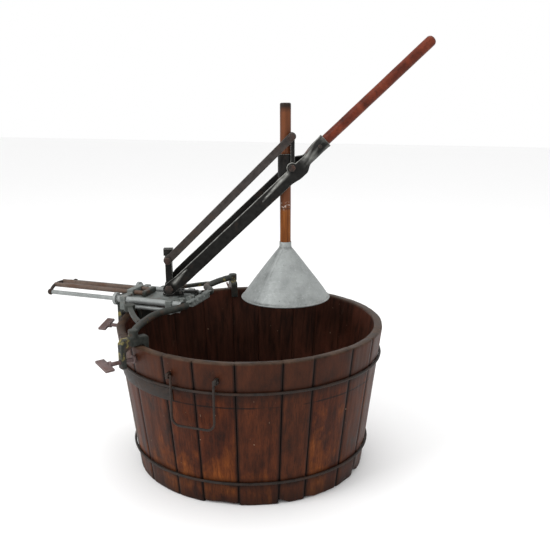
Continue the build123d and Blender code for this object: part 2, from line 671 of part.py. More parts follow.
# ======================= lever =======================
tilt = radians(LEVER_ANGLE)
lever_plane = Plane(
    origin=side.origin,
    x_dir=(cos(swing) * cos(tilt), sin(swing) * cos(tilt), sin(tilt)),
    z_dir=(sin(swing), -cos(swing), 0),
)
rise = radians(LINK_ANGLE - LEVER_ANGLE)
carriage_s = LINK_LENGTH * cos(rise)
carriage_t = LINK_LENGTH * sin(rise)
with BuildPart() as lever:
    for wall_plane, wall_top in (
        (lever_plane.offset(CHANNEL_INNER), NEAR_WALL_TOP),
        (lever_plane.offset(-channel_outer), FAR_WALL_TOP),
    ):
        with BuildSketch(wall_plane):
            with BuildLine():
                Polyline(
                    (0, -14),
                    (30, CHANNEL_FLOOR),
                    (SOCKET_START + 6, CHANNEL_FLOOR),
                    (SOCKET_START + 6, wall_top),
                    (40, wall_top),
                    (0, 14),
                    close=True,
                )
            make_face()
            Circle(14)
            with Locations((carriage_s, carriage_t)):
                Circle(12)
                Circle(LINK_BOLT_RADIUS + RUNNING, mode=Mode.SUBTRACT)
            Circle(PIVOT_BOLT_RADIUS + RUNNING, mode=Mode.SUBTRACT)
        extrude(amount=CHANNEL_WALL)
    with BuildSketch(lever_plane):
        with Locations(((28 + SOCKET_START) / 2, CHANNEL_FLOOR + CHANNEL_WALL / 2)):
            Rectangle(SOCKET_START - 28, CHANNEL_WALL)
    extrude(amount=CHANNEL_INNER, both=True)
    # The end web and the socket for the handle.
    with BuildSketch(lever_plane):
        with Locations((SOCKET_START + 3, (CHANNEL_FLOOR + NEAR_WALL_TOP) / 2)):
            Rectangle(6, NEAR_WALL_TOP - CHANNEL_FLOOR)
    extrude(amount=CHANNEL_INNER, both=True)
    socket_plane = Plane(
        origin=lever_plane.from_local_coords((SOCKET_START, 0, 0)),
        x_dir=lever_plane.z_dir,
        z_dir=lever_plane.x_dir,
    )
    with BuildSketch(socket_plane):
        Circle(SOCKET_RADIUS)
    extrude(amount=SOCKET_END - SOCKET_START)
    with BuildSketch(socket_plane):
        Circle(HANDLE_RADIUS)
    extrude(amount=SOCKET_END - SOCKET_START + 10, mode=Mode.SUBTRACT)
    # The slot in the floor that the stick passes through.
    with BuildSketch(lever_plane):
        with Locations((334, CHANNEL_FLOOR)):
            Rectangle(122, 12)
    extrude(amount=STICK_RADIUS + 2.5, both=True, mode=Mode.SUBTRACT)
save(lever.part, "lever_channel")

with BuildPart() as handle:
    with BuildSketch(socket_plane.offset(8)):
        Circle(HANDLE_RADIUS)
    extrude(amount=HANDLE_END - SOCKET_START - 8)
    fillet(handle.faces().sort_by(Axis(socket_plane.origin, socket_plane.z_dir))[-1].edges(), 9)
save(handle.part, "lever_handle")

# A rivet through the socket and the handle, flush in the handle and headed outside.
with BuildPart() as rivet:
    for z_sign in (-1, 1):
        with BuildSketch(lever_plane.offset(z_sign * (SOCKET_RADIUS - 0.4))):
            with Locations((SOCKET_END - 18, 0)):
                Circle(4.5)
        extrude(amount=z_sign * 2.6)
save(rivet.part, "handle_rivets")

# ======================= upper link =======================
link_tilt = radians(LINK_ANGLE)
link_plane = Plane(
    origin=side.from_local_coords((0, POST_SPACING, LINK_FACE)),
    x_dir=(cos(swing) * cos(link_tilt), sin(swing) * cos(link_tilt), sin(link_tilt)),
    z_dir=(sin(swing), -cos(swing), 0),
)
with BuildPart() as link:
    with BuildSketch(link_plane):
        with Locations((LINK_LENGTH / 2, 0)):
            SlotCenterToCenter(LINK_LENGTH, LINK_WIDTH)
            with Locations((-LINK_LENGTH / 2, 0)):
                Circle(LINK_BOLT_RADIUS + RUNNING, mode=Mode.SUBTRACT)
            with Locations((LINK_LENGTH / 2, 0)):
                Circle(LINK_BOLT_RADIUS + 0.3, mode=Mode.SUBTRACT)
    extrude(amount=LINK_THICKNESS)
save(link.part, "upper_link")

# ======================= carriage and plunger =======================
eye_s = LINK_LENGTH * cos(link_tilt)
eye_t = LINK_LENGTH * sin(link_tilt)
stick_s = eye_s - STICK_OFFSET
stick_x = KINGPIN_X + stick_s * cos(swing)
stick_y = stick_s * sin(swing)
eye_z = PIVOT_Z + eye_t
block_face = CHANNEL_INNER - FIT
with BuildPart() as carriage:
    with Locations((stick_x, stick_y, eye_z + 4)):
        Cylinder(SLEEVE_RADIUS, 52)
    with BuildSketch(side):
        with Locations((eye_s, eye_t)):
            Circle(10)
    extrude(amount=block_face, both=True)
    with BuildSketch(side.offset(8.5)):
        with Locations((eye_s + 2, eye_t + POST_SPACING / 2)):
            Rectangle(9, POST_SPACING)
    extrude(amount=block_face - 8.5)
    with BuildSketch(side.offset(8.5)):
        with Locations((eye_s, eye_t + POST_SPACING)):
            Circle(8.5)
    extrude(amount=LINK_FACE - FIT - 8.5)
    with Locations((stick_x, stick_y, eye_z + 40)):
        Cylinder(STICK_RADIUS + RUNNING, 160, mode=Mode.SUBTRACT)
    with BuildSketch(side):
        with Locations((eye_s, eye_t), (eye_s, eye_t + POST_SPACING)):
            Circle(LINK_BOLT_RADIUS)
    extrude(amount=60, both=True, mode=Mode.SUBTRACT)
save(carriage.part, "plunger_carriage")

with BuildPart() as carriage_bolts:
    for z_sign in (-1, 1):
        with BuildSketch(side.offset(z_sign * 11)):
            with Locations((eye_s, eye_t)):
                Circle(LINK_BOLT_RADIUS)
        extrude(amount=z_sign * (channel_outer + 3 - 11))
        with BuildSketch(side.offset(z_sign * (channel_outer + FIT))):
            with Locations((eye_s, eye_t)):
                RegularPolygon(8.5, 6)
        extrude(amount=z_sign * 5)
    with BuildSketch(side.offset(10)):
        with Locations((eye_s, eye_t + POST_SPACING)):
            Circle(LINK_BOLT_RADIUS)
    extrude(amount=LINK_FACE + LINK_THICKNESS + 2 - 10)
    with BuildSketch(side.offset(LINK_FACE + LINK_THICKNESS + FIT)):
        with Locations((eye_s, eye_t + POST_SPACING)):
            RegularPolygon(9, 6)
    extrude(amount=5)
save(carriage_bolts.part, "carriage_bolts")

stick_bottom = BELL_Z + BELL_HEIGHT - 26
with BuildPart() as stick:
    with BuildSketch(Plane(origin=(stick_x, stick_y, stick_bottom))):
        Circle(STICK_RADIUS)
    extrude(amount=STICK_TOP - stick_bottom)
    chamfer(stick.faces().sort_by(Axis.Z)[-1].edges(), 2)
save(stick.part, "plunger_stick")

bell_plane = Plane(origin=(stick_x, stick_y, BELL_Z), x_dir=(1, 0, 0), z_dir=(0, -1, 0))
with BuildPart() as bell:
    with BuildSketch(bell_plane):
        with BuildLine():
            bell_outside = Spline(
                (BELL_RADIUS, 0),
                (0.58 * BELL_RADIUS, 0.47 * BELL_HEIGHT),
                (BELL_COLLAR, BELL_HEIGHT),
            )
            Line((BELL_COLLAR, BELL_HEIGHT), (BELL_COLLAR, BELL_HEIGHT + 14))
            Line((BELL_COLLAR, BELL_HEIGHT + 14), (BELL_COLLAR - BELL_SHEET, BELL_HEIGHT + 14))
            Line((BELL_COLLAR - BELL_SHEET, BELL_HEIGHT + 14), (BELL_COLLAR - BELL_SHEET, BELL_HEIGHT))
            Spline(
                (BELL_COLLAR - BELL_SHEET, BELL_HEIGHT),
                (0.58 * BELL_RADIUS - 1.5 * BELL_SHEET, 0.47 * BELL_HEIGHT),
                (BELL_RADIUS - 2 * BELL_SHEET, 0),
            )
            Line((BELL_RADIUS - 2 * BELL_SHEET, 0), (BELL_RADIUS, 0))
        make_face()
        with Locations((BELL_RADIUS - 0.5, 0)):
            Circle(BELL_BEAD)
    revolve(axis=Axis((stick_x, stick_y, 0), (0, 0, 1)))
save(bell.part, "plunger_bell")
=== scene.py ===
import json
from math import atan2, cos, pi, radians, sin

import bmesh
import bpy
from mathutils import Matrix, Vector, noise


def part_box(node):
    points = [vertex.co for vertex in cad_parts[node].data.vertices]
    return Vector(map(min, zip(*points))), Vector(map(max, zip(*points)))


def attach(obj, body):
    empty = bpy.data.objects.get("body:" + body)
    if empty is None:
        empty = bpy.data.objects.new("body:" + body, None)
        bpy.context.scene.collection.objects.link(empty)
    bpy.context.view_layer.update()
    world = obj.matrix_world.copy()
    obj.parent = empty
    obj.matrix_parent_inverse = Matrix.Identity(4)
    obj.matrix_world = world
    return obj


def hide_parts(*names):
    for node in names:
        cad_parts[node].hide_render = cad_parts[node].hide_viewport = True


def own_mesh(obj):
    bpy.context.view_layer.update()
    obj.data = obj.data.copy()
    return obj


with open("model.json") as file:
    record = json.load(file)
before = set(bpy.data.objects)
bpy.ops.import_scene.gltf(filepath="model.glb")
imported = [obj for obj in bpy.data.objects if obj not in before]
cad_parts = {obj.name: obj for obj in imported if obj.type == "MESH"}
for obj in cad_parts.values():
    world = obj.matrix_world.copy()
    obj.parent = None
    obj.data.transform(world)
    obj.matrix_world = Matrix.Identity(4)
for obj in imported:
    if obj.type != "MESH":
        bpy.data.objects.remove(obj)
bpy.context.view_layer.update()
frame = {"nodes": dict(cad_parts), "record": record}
scene = bpy.context.scene
BODY_OF = {n: b for b, nodes in frame["record"]["behaviour"]["bodies"].items() for n in nodes}

# ---- measures taken from the frame, in metres ----
STAVES = sorted(n for n in frame["nodes"] if n.startswith("stave_"))
TUB_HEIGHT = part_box("stave_01")[1].z
RIM_RADIUS = max(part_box(n)[1].x for n in STAVES)
STAVE_THICKNESS = 0.020
BASE_RADIUS = RIM_RADIUS - 0.040
UPPER_HOOP_Z = sum(c.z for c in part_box("hoop_upper")) / 2
LOWER_HOOP_Z = sum(c.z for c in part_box("hoop_lower")) / 2


def outer_radius(z):
    """Radius of the tub's outside at height z."""
    return BASE_RADIUS + (RIM_RADIUS - BASE_RADIUS) * z / TUB_HEIGHT


# ======================= camera =======================
VIEW_AZIMUTH = radians(22.5)
VIEW_ELEVATION = radians(16.81)
VIEW_ROLL = radians(0.74)
VIEW_DISTANCE = 1.850
FOCAL_PER_WIDTH = 800 / 550
SENSOR_WIDTH = 36.0
VIEW_SHIFT_X = 0.0467
VIEW_SHIFT_Y = 0.0802
back = Vector(
    (
        sin(VIEW_AZIMUTH) * cos(VIEW_ELEVATION),
        -cos(VIEW_AZIMUTH) * cos(VIEW_ELEVATION),
        sin(VIEW_ELEVATION),
    )
)
right = Vector((cos(VIEW_AZIMUTH), sin(VIEW_AZIMUTH), 0))
up = back.cross(right)
rolled_right = cos(VIEW_ROLL) * right - sin(VIEW_ROLL) * up
rolled_up = sin(VIEW_ROLL) * right + cos(VIEW_ROLL) * up
camera_data = bpy.data.cameras.new("camera")
camera = bpy.data.objects.new("camera", camera_data)
scene.collection.objects.link(camera)
camera_data.sensor_width = SENSOR_WIDTH
camera_data.lens = SENSOR_WIDTH * FOCAL_PER_WIDTH
camera_data.shift_x = VIEW_SHIFT_X
camera_data.shift_y = VIEW_SHIFT_Y
camera_data.clip_end = 30
target = Vector((0, 0, TUB_HEIGHT))
axes = Matrix((rolled_right, rolled_up, back)).transposed()
camera.matrix_world = Matrix.Translation(target + back * VIEW_DISTANCE) @ axes.to_4x4()
scene.camera = camera


# ======================= materials =======================
class Paint:
    """A procedural material under construction. Its methods add nodes, most returning an output socket."""

    def __init__(self, name):
        self.material = bpy.data.materials.new(name)
        self.material.use_nodes = True
        self.tree = self.material.node_tree
        self.shader = self.tree.nodes["Principled BSDF"]

    def node(self, kind, **inputs):
        made = self.tree.nodes.new(kind)
        for key, value in inputs.items():
            self.feed(made.inputs[key.replace("_", " ")], value)
        return made

    def feed(self, socket, value):
        if isinstance(value, bpy.types.NodeSocket):
            self.tree.links.new(value, socket)
        else:
            socket.default_value = value

    def place(self, scale=(1, 1, 1), shift=(0, 0, 0), turn=(0, 0, 0)):
        coords = self.tree.nodes.new("ShaderNodeTexCoord")
        made = self.node("ShaderNodeMapping", Location=shift, Rotation=turn, Scale=scale)
        self.feed(made.inputs["Vector"], coords.outputs["Object"])
        return made.outputs["Vector"]

    def noise(self, where, scale, detail=4.0, roughness=0.55, distortion=0.0):
        made = self.node(
            "ShaderNodeTexNoise",
            Vector=where, Scale=scale, Detail=detail, Roughness=roughness, Distortion=distortion,
        )
        return made.outputs["Fac"]

    def cells(self, where, scale):
        made = self.node("ShaderNodeTexVoronoi", Vector=where, Scale=scale)
        return made.outputs["Color"]

    def ramp(self, factor, stops):
        made = self.tree.nodes.new("ShaderNodeValToRGB")
        self.feed(made.inputs["Fac"], factor)
        band = made.color_ramp
        while len(band.elements) < len(stops):
            band.elements.new(0.5)
        for element, (position, colour) in zip(band.elements, stops):
            element.position = position
            element.color = (*colour, 1)
        return made.outputs["Color"]

    def fade(self, factor, low, high, start=0.0, end=1.0):
        made = self.tree.nodes.new("ShaderNodeMapRange")
        made.clamp = True
        for key, value in (
            ("Value", factor), ("From Min", low), ("From Max", high), ("To Min", start), ("To Max", end)
        ):
            self.feed(made.inputs[key], value)
        return made.outputs["Result"]

    def math(self, operation, first, second=0.5):
        made = self.tree.nodes.new("ShaderNodeMath")
        made.operation = operation
        self.feed(made.inputs[0], first)
        self.feed(made.inputs[1], second)
        return made.outputs[0]

    def mix(self, factor, first, second, blend="MIX"):
        made = self.tree.nodes.new("ShaderNodeMix")
        made.data_type = "RGBA"
        made.blend_type = blend
        self.feed(made.inputs["Factor"], factor)
        for socket, value in ((made.inputs[6], first), (made.inputs[7], second)):
            if isinstance(value, tuple):
                value = (*value, 1)
            self.feed(socket, value)
        return made.outputs[2]

    def attribute(self, name):
        made = self.tree.nodes.new("ShaderNodeAttribute")
        made.attribute_name = name
        return made.outputs["Fac"]

    def height(self):
        """The z coordinate in the part's own frame, in metres."""
        split = self.node("ShaderNodeSeparateXYZ", Vector=self.place())
        return split.outputs["Z"]

    def edges(self, radius):
        """1 on outer and inner edges of the solid and 0 on its flats."""
        bevel = self.tree.nodes.new("ShaderNodeBevel")
        bevel.samples = 6
        bevel.inputs["Radius"].default_value = radius
        geometry = self.tree.nodes.new("ShaderNodeNewGeometry")
        dot = self.tree.nodes.new("ShaderNodeVectorMath")
        dot.operation = "DOT_PRODUCT"
        self.feed(dot.inputs[0], bevel.outputs["Normal"])
        self.feed(dot.inputs[1], geometry.outputs["Normal"])
        return self.fade(dot.outputs["Value"], 1.0, 0.86)

    def bump(self, height, strength=0.3, distance=0.001):
        made = self.node("ShaderNodeBump", Height=height, Strength=strength, Distance=distance)
        return made.outputs["Normal"]

    def done(self, colour, roughness, metallic=0.0, normal=None, coat=0.0, specular=0.5):
        if isinstance(colour, tuple):
            colour = (*colour, 1)
        self.feed(self.shader.inputs["Base Color"], colour)
        self.feed(self.shader.inputs["Roughness"], roughness)
        self.feed(self.shader.inputs["Metallic"], metallic)
        self.shader.inputs["Coat Weight"].default_value = coat
        self.shader.inputs["Coat Roughness"].default_value = 0.35
        self.shader.inputs["Specular IOR Level"].default_value = specular
        if normal is not None:
            self.feed(self.shader.inputs["Normal"], normal)
        return self.material


def stave_wood(name, seed, warmth, age):
    """Old varnished tub wood, its grain upright: warmth shifts to orange, age to grey-brown; the inside is
    darker, partly as painted shade.
    """
    p = Paint(name)
    grain = p.place(scale=(1, 1, 0.05), shift=(seed * 3.7, seed * 1.9, seed * 0.7))
    patch = p.place(scale=(1, 1, 0.55), shift=(seed * 5.1, -seed * 2.3, seed))
    fine = p.noise(grain, 420, 3, 0.6)
    streak = p.noise(grain, 80, 5, 0.6, 0.4)
    broad = p.noise(patch, 8, 5, 0.62, 0.8)
    blot = p.noise(patch, 30, 6, 0.68)
    z = p.height()
    base = p.ramp(
        p.math("ADD", p.math("MULTIPLY", streak, 0.45), p.math("MULTIPLY", blot, 0.55)),
        [
            (0.34, (0.0170, 0.0050, 0.0026)),
            (0.48, (0.0430, 0.0105, 0.0040)),
            (0.60, (0.0730, 0.0180, 0.0060)),
            (0.76, (0.1200, 0.0320, 0.0095)),
        ],
    )
    worn = p.ramp(
        streak,
        [(0.3, (0.100, 0.0260, 0.0060)), (0.55, (0.190, 0.053, 0.0100)), (0.8, (0.300, 0.098, 0.0200))],
    )
    low_wear = p.fade(z, UPPER_HOOP_Z - 0.02, 0.04, -0.10, 0.07)
    wear_noise = p.math("ADD", p.math("MULTIPLY", broad, 0.8), p.math("MULTIPLY", blot, 0.3))
    wear = p.fade(p.math("ADD", wear_noise, low_wear), 0.63 - 0.10 * warmth, 0.84 - 0.08 * warmth)
    colour = p.mix(wear, base, worn)
    colour = p.mix(p.fade(fine, 0.32, 0.50, 0.45, 0.0), colour, (0.0060, 0.0030, 0.0025))
    colour = p.mix(p.fade(blot, 0.40, 0.28, 0.0, 0.7), colour, (0.0085, 0.0045, 0.0035))
    colour = p.mix(age, colour, p.mix(streak, (0.020, 0.0125, 0.0080), (0.120, 0.074, 0.043)))
    # The wood above the upper hoop is duller; rust and dirt run along the hoops.
    upper = p.math("MULTIPLY", p.fade(z, UPPER_HOOP_Z - 0.012, UPPER_HOOP_Z + 0.006), 0.62)
    colour = p.mix(upper, colour, p.mix(blot, (0.010, 0.0042, 0.0026), (0.066, 0.0225, 0.0115)))
    for hoop_z in (UPPER_HOOP_Z, LOWER_HOOP_Z):
        near = p.math("ABSOLUTE", p.math("SUBTRACT", z, hoop_z - 0.004))
        rust = p.math("MULTIPLY", p.fade(near, 0.018, 0.003), p.fade(blot, 0.32, 0.62))
        colour = p.mix(p.math("MULTIPLY", rust, 0.9), colour, (0.0075, 0.0045, 0.0035))
    foot = p.math("MULTIPLY", p.fade(z, LOWER_HOOP_Z, 0.0), p.fade(blot, 0.30, 0.60, 0.35, 0.85))
    colour = p.mix(foot, colour, (0.0085, 0.0052, 0.0042))
    # A dark line below the upper hoop is left by an earlier hoop; it is broken in places.
    ghost = p.math("ABSOLUTE", p.math("SUBTRACT", z, UPPER_HOOP_Z - 0.033))
    ghost_break = p.fade(p.noise(p.place(), 14, 2), 0.36, 0.5)
    ghost = p.math("MULTIPLY", p.fade(ghost, 0.0024, 0.0006, 0.0, 0.85), ghost_break)
    colour = p.mix(ghost, colour, (0.0050, 0.0030, 0.0025))
    colour = p.mix(p.attribute("seam"), colour, (0.0030, 0.0018, 0.0015))
    # Inside the tub the wood has its own tone and is darkened further as painted shade.
    inner = p.mix(p.fade(streak, 0.35, 0.70), (0.0170, 0.0075, 0.0050), (0.0640, 0.0215, 0.0125))
    inner = p.mix(p.fade(broad, 0.50, 0.75, 0.0, 0.8), inner, (0.0900, 0.0265, 0.0150))
    flecks = p.noise(p.place(scale=(1, 1, 0.2)), 60, 3)
    inner = p.mix(p.fade(flecks, 0.68, 0.76, 0.0, 0.4), inner, (0.10, 0.055, 0.035))
    colour = p.mix(p.attribute("inside"), colour, inner)
    rim = p.mix(p.fade(blot, 0.35, 0.68), (0.0135, 0.0078, 0.0050), (0.0700, 0.0400, 0.0250))
    colour = p.mix(p.attribute("rim"), colour, rim)
    chips = p.fade(p.noise(p.place(scale=(1, 1, 0.6)), 150, 2), 0.755, 0.775)
    colour = p.mix(p.math("MULTIPLY", chips, 0.6), colour, (0.33, 0.22, 0.15))
    roughness = p.fade(p.math("ADD", p.math("MULTIPLY", wear, 0.3), blot), 0.3, 0.95, 0.36, 0.62)
    relief = p.math("ADD", p.math("MULTIPLY", streak, 0.6), p.math("MULTIPLY", fine, 0.4))
    return p.done(colour, roughness, 0.0, p.bump(relief, 0.5, 0.0012), specular=0.09)


def turned_wood(name, dark, mid, light, along, scale, dirt, seed=0.0, joint_z=None):
    """Worn wood. along scales the grain per axis; joint_z is where the stick's two lengths meet."""
    p = Paint(name)
    grain = p.place(scale=along, shift=(seed, seed * 1.3, seed * 0.4))
    streak = p.noise(grain, scale, 5, 0.6, 0.35)
    fine = p.noise(grain, scale * 4.5, 3, 0.6)
    blot = p.noise(p.place(shift=(seed, 0, seed)), 38, 5, 0.6)
    colour = p.ramp(streak, [(0.28, dark), (0.52, mid), (0.78, light)])
    colour = p.mix(p.fade(fine, 0.28, 0.5, 0.6, 0.0), colour, dark)
    if joint_z is not None:
        z = p.height()
        above = p.fade(p.math("ADD", z, p.math("MULTIPLY", blot, 0.012)), joint_z, joint_z + 0.010)
        colour = p.mix(above, colour, p.mix(streak, (0.045, 0.0140, 0.0060), (0.200, 0.066, 0.0250)))
        seam = p.fade(p.math("ABSOLUTE", p.math("SUBTRACT", z, joint_z)), 0.0016, 0.0004)
        colour = p.mix(p.math("MULTIPLY", seam, 0.8), colour, (0.02, 0.010, 0.007))
        scuff = p.fade(p.math("ABSOLUTE", p.math("SUBTRACT", z, joint_z + 0.006)), 0.012, 0.002)
        scuff = p.math("MULTIPLY", scuff, p.fade(p.noise(p.place(), 240, 3), 0.56, 0.64))
        colour = p.mix(scuff, colour, (0.5, 0.42, 0.36))
        crown = p.fade(z, STICK_CROWN_Z, STICK_CROWN_Z + 0.014)
        colour = p.mix(crown, colour, (0.020, 0.012, 0.009))
    colour = p.mix(p.fade(blot, 0.56, 0.74, 0.0, dirt), colour, (0.018, 0.009, 0.007))
    roughness = p.fade(blot, 0.3, 0.7, 0.30, 0.50)
    return p.done(colour, roughness, 0.0, p.bump(streak, 0.25, 0.0006), coat=0.04, specular=0.12)


def iron(name, base, edge_wear_and_highlight, rust, wear, rust_amount, paint=None, paint_amount=0.0):
    """Old cast or forged iron: dark skin, pale worn edges, painted highlights where a mesh marks them, some
    rust and, on a few, paint remains.
    """
    p = Paint(name)
    here = p.place()
    coarse = p.noise(here, 26, 6, 0.62)
    medium = p.noise(here, 95, 5, 0.6)
    grit = p.noise(here, 620, 3, 0.6)
    lighter = tuple(min(1.0, 1.9 * c + 0.006) for c in base)
    colour = p.mix(p.fade(medium, 0.3, 0.7), base, lighter)
    rusty = p.fade(p.math("ADD", coarse, p.math("MULTIPLY", medium, 0.4)), 0.80 - 0.3 * rust_amount, 0.92)
    colour = p.mix(rusty, colour, rust)
    if paint is not None:
        split = p.node("ShaderNodeSeparateXYZ", Vector=p.place())
        x_squared = p.math("POWER", split.outputs["X"], 2.0)
        y_squared = p.math("POWER", split.outputs["Y"], 2.0)
        reach = p.math("SQRT", p.math("ADD", x_squared, y_squared))
        outside = p.fade(reach, RIM_RADIUS - 0.005, RIM_RADIUS + 0.018, 0.0, 0.13)
        patches = p.math("ADD", p.noise(p.place(shift=(3, 1, 2)), 30, 5, 0.6), outside)
        spread = p.fade(patches, 0.66 - paint_amount, 0.72 - paint_amount)
        colour = p.mix(spread, colour, p.mix(medium, paint, tuple(0.55 * c for c in paint)))
    # Worn edges, and on the lever painted highlights, are mixed toward the pale edge colour.
    edge = p.math("MAXIMUM", p.edges(0.0016), p.attribute("edge_wear_and_highlight"))
    worn_and_highlit = p.math("MULTIPLY", edge, p.fade(medium, 0.25, 0.6, 0.25, 1.0))
    worn_and_highlit = p.math("MULTIPLY", worn_and_highlit, wear)
    colour = p.mix(worn_and_highlit, colour, edge_wear_and_highlight)
    metallic = p.fade(worn_and_highlit, 0.0, 0.6, 0.08, 0.80)
    roughness = p.fade(p.math("ADD", medium, p.math("MULTIPLY", worn_and_highlit, -0.4)), 0.1, 0.8, 0.34, 0.66)
    relief = p.math("ADD", p.math("MULTIPLY", grit, 0.4), medium)
    return p.done(colour, roughness, metallic, p.bump(relief, 0.35, 0.0008), specular=0.14)


def zinc(name, light):
    """Weathered galvanised sheet: faint spangle, blotches, fine scratches."""
    p = Paint(name)
    spangle = p.ramp(p.cells(p.place(), 130), [(0.0, (0.0, 0.0, 0.0)), (1.0, (1.0, 1.0, 1.0))])
    cloud = p.noise(p.place(), 17, 6, 0.62, 0.5)
    fleck = p.noise(p.place(), 210, 4, 0.65)
    tone = tuple(light * c for c in (0.300, 0.318, 0.312))
    dull = tuple(light * c for c in (0.175, 0.187, 0.184))
    pale = tuple(min(1.0, light * c) for c in (0.455, 0.475, 0.465))
    dark = (0.070, 0.072, 0.068)
    colour = p.mix(p.fade(cloud, 0.32, 0.68), dull, tone)
    colour = p.mix(p.math("MULTIPLY", spangle, 0.22), colour, pale)
    colour = p.mix(p.fade(fleck, 0.60, 0.72, 0.0, 0.55), colour, pale)
    colour = p.mix(p.fade(fleck, 0.38, 0.27, 0.0, 0.6), colour, dark)
    scratch = p.noise(p.place(scale=(60, 60, 900)), 1.0, 2, 0.5)
    colour = p.mix(p.fade(scratch, 0.66, 0.74, 0.0, 0.25), colour, (0.6, 0.62, 0.61))
    # Dirt along the bell's seam, and painted shade inside the bell and in its creases.
    grime_and_shade = p.math("MULTIPLY", p.attribute("grime_and_shade"), p.fade(fleck, 0.30, 0.62, 0.9, 0.3))
    colour = p.mix(grime_and_shade, colour, dark)
    roughness = p.fade(cloud, 0.3, 0.7, 0.42, 0.62)
    relief = p.math("ADD", cloud, fleck)
    return p.done(colour, roughness, 0.45, p.bump(relief, 0.12, 0.0008), specular=0.35)


# The stick is two lengths of wood, and its top end is dark.
STICK_JOINT_Z = 0.577
STICK_CROWN_Z = 0.792

# Each kind of stave has its own warmth and age; the last is the bare, greyed one.
STAVE_TONES = [(0.1, 0.0), (0.95, 0.0), (0.45, 0.08), (0.65, 0.02), (0.0, 0.05), (0.0, 0.62)]
STAVE_KINDS = []
for index, (warmth, age) in enumerate(STAVE_TONES):
    STAVE_KINDS.append(stave_wood(f"stave_wood_{index}", 1.0 + 2.3 * index, warmth, age))
FLOOR_WOOD = turned_wood(
    "floor_wood",
    dark=(0.006, 0.0035, 0.003),
    mid=(0.016, 0.008, 0.006),
    light=(0.036, 0.017, 0.012),
    along=(1, 0.05, 1),
    scale=70,
    dirt=0.5,
)
HANDLE_WOOD = turned_wood(
    "handle_wood",
    dark=(0.036, 0.0070, 0.0035),
    mid=(0.120, 0.0225, 0.0095),
    light=(0.205, 0.050, 0.0220),
    along=(1, 1, 1),
    scale=26,
    dirt=0.35,
    seed=4.0,
)
STICK_WOOD = turned_wood(
    "stick_wood",
    dark=(0.060, 0.0150, 0.0030),
    mid=(0.195, 0.058, 0.0095),
    light=(0.310, 0.118, 0.0220),
    along=(1, 1, 0.05),
    scale=150,
    dirt=0.3,
    seed=9.0,
    joint_z=STICK_JOINT_Z,
)

# Metals: colours of skin, of worn edges and painted highlights, and of rust; how worn; how much rust;
# remains of paint and how much.
BRIGHT = (0.44, 0.44, 0.41)
RUST = (0.060, 0.030, 0.019)
OLIVE = (0.235, 0.195, 0.062)
HOOP_IRON = iron("hoop_iron", (0.0120, 0.0095, 0.0080), (0.11, 0.09, 0.08), (0.034, 0.018, 0.012), 0.5, 0.6)
CAST_IRON = iron("cast_iron", (0.0210, 0.0235, 0.0200), BRIGHT, RUST, 1.0, 0.15, OLIVE, 0.0)
ARM_IRON = iron("arm_iron", (0.0170, 0.0185, 0.0160), (0.30, 0.30, 0.27), RUST, 0.9, 0.25, OLIVE, 0.02)
LEVER_IRON = iron("lever_iron", (0.0045, 0.0043, 0.0037), BRIGHT, (0.022, 0.015, 0.011), 1.0, 0.1)
BED_METAL = iron("bed_metal", (0.085, 0.093, 0.088), BRIGHT, RUST, 1.0, 0.1, OLIVE, -0.03)
LINK_IRON = iron("link_iron", (0.0270, 0.0225, 0.0205), (0.20, 0.18, 0.17), (0.055, 0.036, 0.027), 0.7, 0.3)
BOLT_IRON = iron("bolt_iron", (0.0200, 0.0165, 0.0145), (0.30, 0.27, 0.24), (0.070, 0.030, 0.020), 0.8, 0.5)
SCREW_IRON = iron("screw_iron", (0.085, 0.060, 0.058), (0.30, 0.27, 0.26), (0.090, 0.046, 0.037), 0.8, 0.5)
RUSTY_ROD = iron("rusty_rod", (0.070, 0.050, 0.039), (0.22, 0.19, 0.165), (0.080, 0.042, 0.026), 0.4, 0.6)
SPRING_STEEL = iron("spring_steel", (0.060, 0.055, 0.052), (0.3, 0.3, 0.3), RUST, 0.6, 0.2)
GALVANISED = zinc("galvanised", 0.85)
BELL_ZINC = zinc("zinc_sheet", 1.0)


# ======================= pieces =======================
def make_piece(name, mesh, material, node):
    """Add a mesh as a piece that stands for a CAD node."""
    piece = bpy.data.objects.new(name, mesh)
    scene.collection.objects.link(piece)
    mesh.materials.clear()
    mesh.materials.append(material)
    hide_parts(node)
    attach(piece, BODY_OF[node])
    return piece


def shade(mesh, sharp_angle=None):
    """Smooth shading, with edges over sharp_angle degrees kept sharp."""
    mesh.polygons.foreach_set("use_smooth", [True] * len(mesh.polygons))
    if sharp_angle is not None:
        mesh.set_sharp_from_angle(angle=radians(sharp_angle))


def mark(mesh, name, values):
    """Store one value per vertex for a material to read."""
    mesh.attributes.new(name, "FLOAT", "POINT").data.foreach_set("value", values)


def apply_modifiers(piece):
    """Bake the piece's modifiers into its mesh."""
    bpy.context.view_layer.update()
    graph = bpy.context.evaluated_depsgraph_get()
    mesh = bpy.data.meshes.new_from_object(piece.evaluated_get(graph))
    piece.modifiers.clear()
    piece.data = mesh
    return mesh


FLAT_ANGLE = radians(1.5)
SOFT_EDGE_ANGLE = radians(38)


def softened(node, material, width):
    """The CAD node's own shape with its sharp edges rounded over, as on a casting or a forging."""
    mesh = frame["nodes"][node].data.copy()
    mesh.name = node + "_soft"
    work = bmesh.new()
    work.from_mesh(mesh)
    bmesh.ops.remove_doubles(work, verts=work.verts, dist=1e-6)
    bmesh.ops.dissolve_limit(work, angle_limit=FLAT_ANGLE, verts=work.verts, edges=work.edges)
    work.to_mesh(mesh)
    work.free()
    piece = make_piece(node + "_soft", mesh, material, node)
    bevel = piece.modifiers.new("bevel", "BEVEL")
    bevel.width = width
    bevel.segments = 2
    bevel.limit_method = "ANGLE"
    bevel.angle_limit = SOFT_EDGE_ANGLE
    bevel.use_clamp_overlap = True
    shade(apply_modifiers(piece), 34)


CAST_VOXEL = 0.0016
CAST_SMOOTHING = 3
CAST_ROUGHNESS = 0.00035
CAST_GRIT_SCALE = 70


